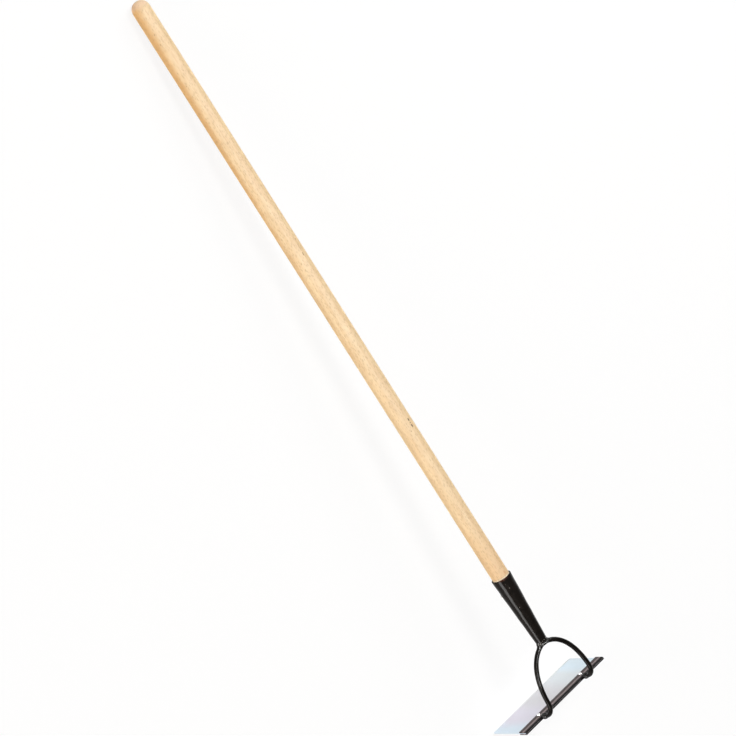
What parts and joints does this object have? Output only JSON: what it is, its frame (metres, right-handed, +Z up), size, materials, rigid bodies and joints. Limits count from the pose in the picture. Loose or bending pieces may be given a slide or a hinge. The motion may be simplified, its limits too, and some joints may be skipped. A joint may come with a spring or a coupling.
{
  "type": "garden hoe",
  "caption": "Long-handled garden hoe: wooden handle in a tapered steel socket, a bow bent from round rod, and a wide flat blade riveted in a folded holder. Rigid.",
  "frame": {"origin": "middle of the lying tool's box, on the floor that it lies on", "axes": "+Z up, +Y from the blade along the handle to its tip, +X along the blade; the tool lies on the blade's edge and the handle's tip, with the bow's arch over the floor"},
  "size_m": [0.214, 1.4122, 0.127],
  "materials": {
    "ash_wood": "clear varnished pale hardwood with a fine straight grain",
    "socket_paint": "semi-gloss black paint on steel",
    "bow_paint": "semi-gloss black paint on round rod",
    "weld_paint": "rippled weld bead under black paint",
    "holder_paint": "thin glossy black paint on folded sheet",
    "polished_steel": "polished flat steel",
    "rivet_steel": "bright rivet head",
    "nail_steel": "dull grey nail head"
  },
  "bodies": {
    "root": {"handle": "ash_wood", "socket": "socket_paint", "handle_nail": "nail_steel", "bow": "bow_paint", "socket_weld_front": "weld_paint", "socket_weld_back": "weld_paint", "foot_weld_left": "weld_paint", "foot_weld_right": "weld_paint", "blade_holder": "holder_paint", "blade": "polished_steel", "rivet_left": "rivet_steel", "rivet_right": "rivet_steel"}
  },
  "joints": []
}
